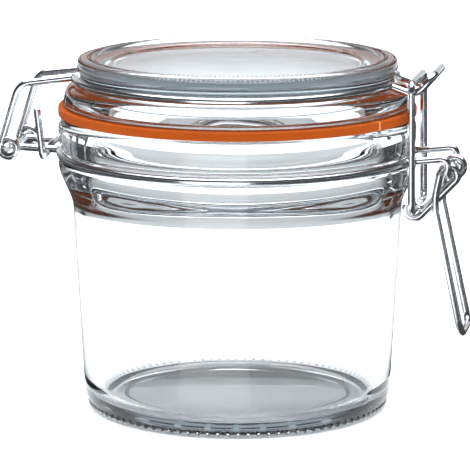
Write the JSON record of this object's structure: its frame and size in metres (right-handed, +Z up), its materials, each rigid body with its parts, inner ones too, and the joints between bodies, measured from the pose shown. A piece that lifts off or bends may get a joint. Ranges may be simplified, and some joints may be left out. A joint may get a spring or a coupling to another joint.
{
  "type": "clip-top terrine jar",
  "caption": "Round clear glass jar with a hinged glass lid, a flat rubber seal and a bent wire toggle closure for potted food.",
  "frame": {"origin": "on the jar's axis at the plane it rests on", "axes": "+Z up along the jar's axis, +X towards the latch, hinge at -X"},
  "size_m": [0.1271, 0.0968, 0.095],
  "materials": {
    "glass": "clear pressed glass, polished",
    "wire": "bright drawn steel wire",
    "seal": "satin orange rubber"
  },
  "bodies": {
    "jar": {"jar_glass": "glass", "neck_wire": "wire"},
    "lid": {"lid_glass": "glass", "seal_ring": "seal", "lid_wire": "wire"},
    "lever": {"lever_wire": "wire"},
    "link": {"link_wire": "wire"}
  },
  "joints": [
    {"name": "lid_hinge", "type": "hinge", "parent": "jar", "child": "lid", "pos_m": [-0.0608, 0, 0.0695], "axis": [0, -1, 0], "range_deg": [0, 105]},
    {"name": "lever_swing", "type": "hinge", "parent": "jar", "child": "lever", "pos_m": [0.058, 0, 0.0655], "axis": [0, -1, 0], "range_deg": [0, 105]},
    {"name": "link_swing", "type": "hinge", "parent": "lid", "child": "link", "pos_m": [0.0485, 0, 0.09], "axis": [0, -1, 0], "range_deg": [0, 30]}
  ],
  "couplings": [
    {"joint": "link_swing", "follows": "lever_swing", "ratio": 0.28}
  ]
}
